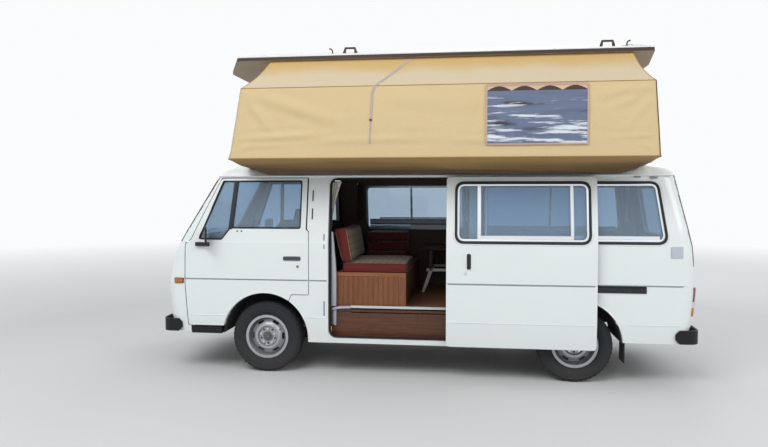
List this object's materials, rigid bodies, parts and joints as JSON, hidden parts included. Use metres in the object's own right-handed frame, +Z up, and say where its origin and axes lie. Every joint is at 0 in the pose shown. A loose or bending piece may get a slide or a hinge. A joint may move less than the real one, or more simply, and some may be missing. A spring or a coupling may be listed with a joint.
{
  "type": "camper van",
  "caption": "Forward-control camper van with its side door slid open and a canvas tent raised on the roof.",
  "frame": {"origin": "on the ground, below the middle of the van's box", "axes": "the nose points along -X, +Z is up, and the centre plane is Y = 0"},
  "size_m": [4.6898, 2.444, 2.856],
  "materials": {
    "body_paint": "gloss off-white",
    "glass": "clear",
    "black_plastic": "satin black",
    "lamp_lens": "ribbed lens",
    "headlamp": "bright",
    "rubber": "matt",
    "tyre": "worn matt",
    "steel_wheel": "silver enamel",
    "chassis_paint": "matt black",
    "cast_iron": "oily",
    "steel": "weathered",
    "floor_covering": "brown",
    "trim_plastic": "dark brown",
    "wood": "satin veneer",
    "cushion": "woven with plaid face",
    "seat_cloth": "woven",
    "curtain": "thin",
    "lid_shell": "moulded",
    "canvas": "proofed canvas",
    "board": "plywood",
    "table_top": "laminate"
  },
  "bodies": {
    "van": {"bed_boards": "board", "bench_back": "cushion", "bench_base": "wood", "bench_cushion": "cushion", "body_side_left": "body_paint", "body_side_right": "body_paint", "cab_seats": "seat_cloth", "cab_steps": "black_plastic", "chassis": "chassis_paint", "curtains": "curtain", "dashboard": "trim_plastic", "door_rail": "black_plastic", "driveline": "cast_iron", "engine": "cast_iron", "exhaust": "steel", "fixed_windows": "glass", "floor": "floor_covering", "front_axle": "chassis_paint", "front_bumper": "black_plastic", "front_panel": "body_paint", "fuel_tank": "chassis_paint", "grille": "black_plastic", "headlamps": "headlamp", "kitchen_cabinet": "wood", "mudflaps": "rubber", "rear_axle": "chassis_paint", "rear_bumper": "black_plastic", "roof": "body_paint", "roof_frame": "body_paint", "sliding_door": "body_paint", "sliding_door_glass": "glass", "spare_cushions": "cushion", "steering_wheel": "black_plastic", "step_well": "wood", "table": "table_top", "tail_lamps": "lamp_lens", "tail_panel": "body_paint", "tent_skirt": "canvas", "tent_walls": "canvas", "wheel_housings": "body_paint", "windscreen": "glass"},
    "cab_door_left": {"cab_door_left": "body_paint", "cab_door_glass_left": "glass", "mirror_left": "black_plastic"},
    "cab_door_right": {"cab_door_right": "body_paint", "cab_door_glass_right": "glass", "mirror_right": "black_plastic"},
    "tailgate": {"tailgate": "body_paint", "tailgate_glass": "glass"},
    "roof_lid": {"roof_lid": "lid_shell"},
    "knuckle_left": {"knuckle_left": "cast_iron"},
    "knuckle_right": {"knuckle_right": "cast_iron"},
    "wheel_front_left": {"tyre_front_left": "tyre", "rim_front_left": "steel_wheel"},
    "wheel_front_right": {"tyre_front_right": "tyre", "rim_front_right": "steel_wheel"},
    "wheel_rear_left": {"tyre_rear_left": "tyre", "rim_rear_left": "steel_wheel"},
    "wheel_rear_right": {"tyre_rear_right": "tyre", "rim_rear_right": "steel_wheel"}
  },
  "joints": [
    {"name": "cab_door_left_hinge", "type": "hinge", "parent": "van", "child": "cab_door_left", "pos_m": [-2.09, -0.853, 0.9], "axis": [0, 0, -1], "range_deg": [0, 68]},
    {"name": "cab_door_right_hinge", "type": "hinge", "parent": "van", "child": "cab_door_right", "pos_m": [-2.09, 0.853, 0.9], "axis": [0, 0, 1], "range_deg": [0, 68]},
    {"name": "tailgate_hinge", "type": "hinge", "parent": "van", "child": "tailgate", "pos_m": [2.184, 0, 1.748], "axis": [0, -1, 0], "range_deg": [0, 82]},
    {"name": "lid_slide", "type": "slide", "parent": "van", "child": "roof_lid", "axis": [0, 0, -1], "range_m": [0, 0.7], "deforming": ["tent_walls"]},
    {"name": "steer_left", "type": "hinge", "parent": "van", "child": "knuckle_left", "pos_m": [-1.36, -0.61, 0.318], "axis": [0, 0, 1], "range_deg": [-34, 34]},
    {"name": "steer_right", "type": "hinge", "parent": "van", "child": "knuckle_right", "pos_m": [-1.36, 0.61, 0.318], "axis": [0, 0, 1], "range_deg": [-34, 34]},
    {"name": "spin_front_left", "type": "hinge", "parent": "knuckle_left", "child": "wheel_front_left", "pos_m": [-1.36, -0.7, 0.318], "axis": [0, 1, 0], "continuous": true},
    {"name": "spin_front_right", "type": "hinge", "parent": "knuckle_right", "child": "wheel_front_right", "pos_m": [-1.36, 0.7, 0.318], "axis": [0, 1, 0], "continuous": true},
    {"name": "spin_rear_left", "type": "hinge", "parent": "van", "child": "wheel_rear_left", "pos_m": [1.33, -0.7, 0.318], "axis": [0, 1, 0], "continuous": true},
    {"name": "spin_rear_right", "type": "hinge", "parent": "van", "child": "wheel_rear_right", "pos_m": [1.33, 0.7, 0.318], "axis": [0, 1, 0], "continuous": true}
  ],
  "couplings": [
    {"joint": "steer_right", "follows": "steer_left", "ratio": 1}
  ]
}
